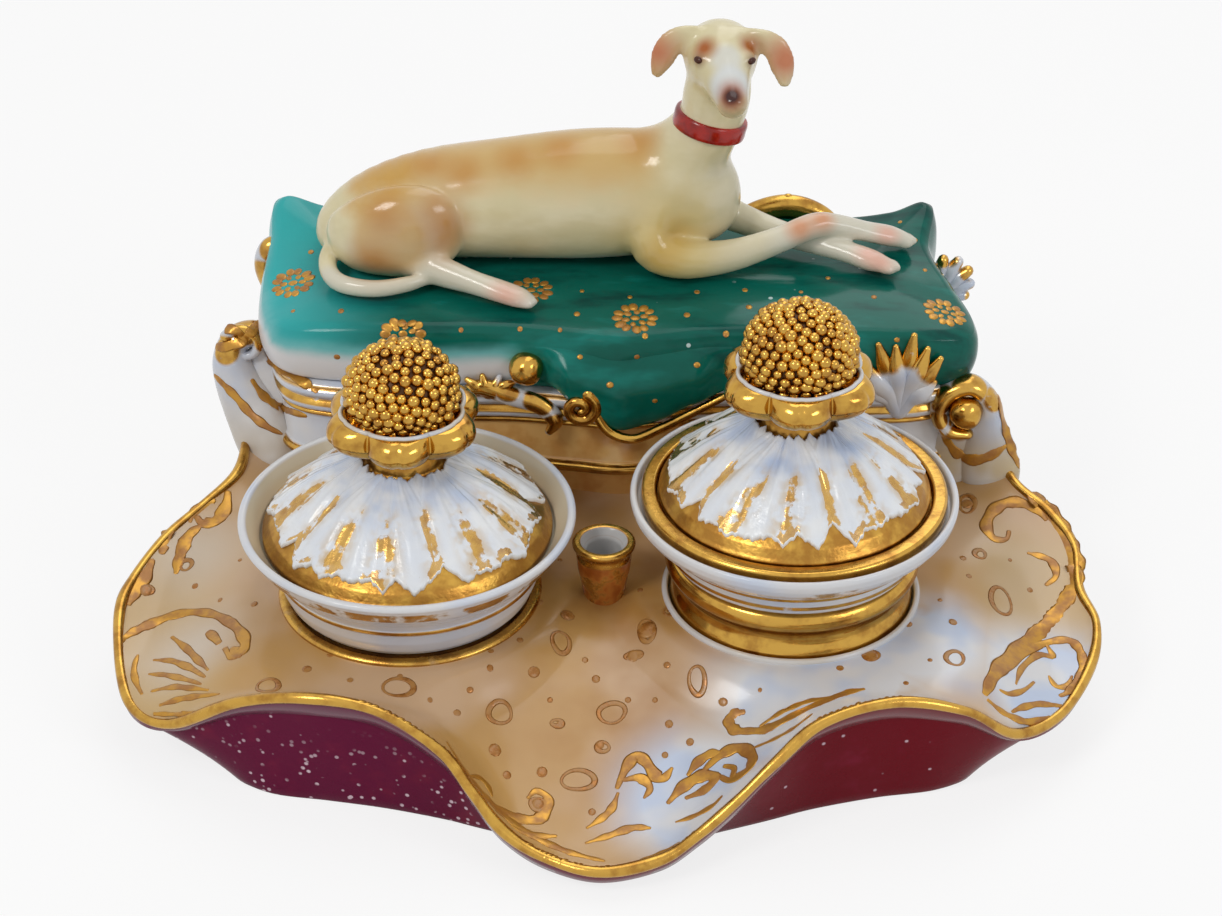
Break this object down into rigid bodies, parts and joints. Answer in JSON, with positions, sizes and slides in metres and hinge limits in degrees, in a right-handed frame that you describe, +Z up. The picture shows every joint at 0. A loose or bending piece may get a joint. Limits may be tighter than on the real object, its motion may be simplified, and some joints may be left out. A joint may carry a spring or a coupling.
{
  "type": "desk inkstand",
  "caption": "Porcelain desk inkstand: wavy-rimmed leaf-shaped tray with lidded pots, a quill cup and a plinth whose cushion carries a reclining greyhound.",
  "frame": {"origin": "centre of the overall footprint, on the surface the stand rests on", "axes": "+Z up, -Y towards the person writing, +X to that person's right, along the long side"},
  "size_m": [0.245, 0.1908, 0.1451],
  "materials": {
    "white_glaze": "clear glossy glaze",
    "gilt": "burnished gilding on glaze",
    "peach_ground": "mottled peach ground with gilt scrolls, glossy",
    "purple_ground": "purple to crimson ground, glossy",
    "green_ground": "green ground with gilt flowers, glossy",
    "fawn_enamel": "cream glaze washed with tan",
    "red_enamel": "red enamel, glossy"
  },
  "bodies": {
    "base": {"base_plate": "white_glaze", "tray_skirt": "purple_ground", "tray_dish": "peach_ground", "left_socket": "gilt", "right_socket": "white_glaze", "quill_cup": "gilt", "plinth_wall": "peach_ground", "plinth_moulding": "gilt", "plinth_cornice": "white_glaze", "cushion": "green_ground", "front_drape": "green_ground", "left_bracket": "white_glaze", "right_volute": "white_glaze", "volute_ball": "gilt", "plinth_leaf": "white_glaze", "front_volute": "gilt", "front_scroll": "gilt", "front_ball": "gilt", "rear_crest": "gilt", "rear_left_scroll": "white_glaze", "rear_right_shell": "white_glaze", "dog_body": "fawn_enamel", "dog_neck": "fawn_enamel", "dog_head": "fawn_enamel", "dog_left_ear": "fawn_enamel", "dog_right_ear": "fawn_enamel", "dog_collar": "red_enamel", "dog_near_foreleg": "fawn_enamel", "dog_far_foreleg": "fawn_enamel", "dog_haunch": "fawn_enamel", "dog_near_hind_foot": "fawn_enamel", "dog_far_hind_foot": "fawn_enamel", "dog_tail": "fawn_enamel"},
    "left_pot": {"left_pot": "white_glaze"},
    "left_lid": {"left_lid": "gilt", "left_lid_leaf": "white_glaze", "left_calyx": "gilt", "left_berries": "gilt"},
    "right_pot": {"right_pot": "white_glaze", "right_foot": "gilt"},
    "right_liner": {"right_liner": "gilt"},
    "right_lid": {"right_lid": "gilt", "right_lid_leaf": "white_glaze", "right_calyx": "gilt", "right_berries": "gilt"}
  },
  "joints": [
    {"name": "left_pot_lift", "type": "slide", "parent": "base", "child": "left_pot", "axis": [0, 0, 1], "range_m": [0, 0.06]},
    {"name": "left_lid_lift", "type": "slide", "parent": "left_pot", "child": "left_lid", "axis": [0, 0, 1], "range_m": [0, 0.06]},
    {"name": "right_pot_lift", "type": "slide", "parent": "base", "child": "right_pot", "axis": [0, 0, 1], "range_m": [0, 0.06]},
    {"name": "right_liner_lift", "type": "slide", "parent": "right_pot", "child": "right_liner", "axis": [0, 0, 1], "range_m": [0, 0.05]},
    {"name": "right_lid_lift", "type": "slide", "parent": "right_liner", "child": "right_lid", "axis": [0, 0, 1], "range_m": [0, 0.06]}
  ]
}
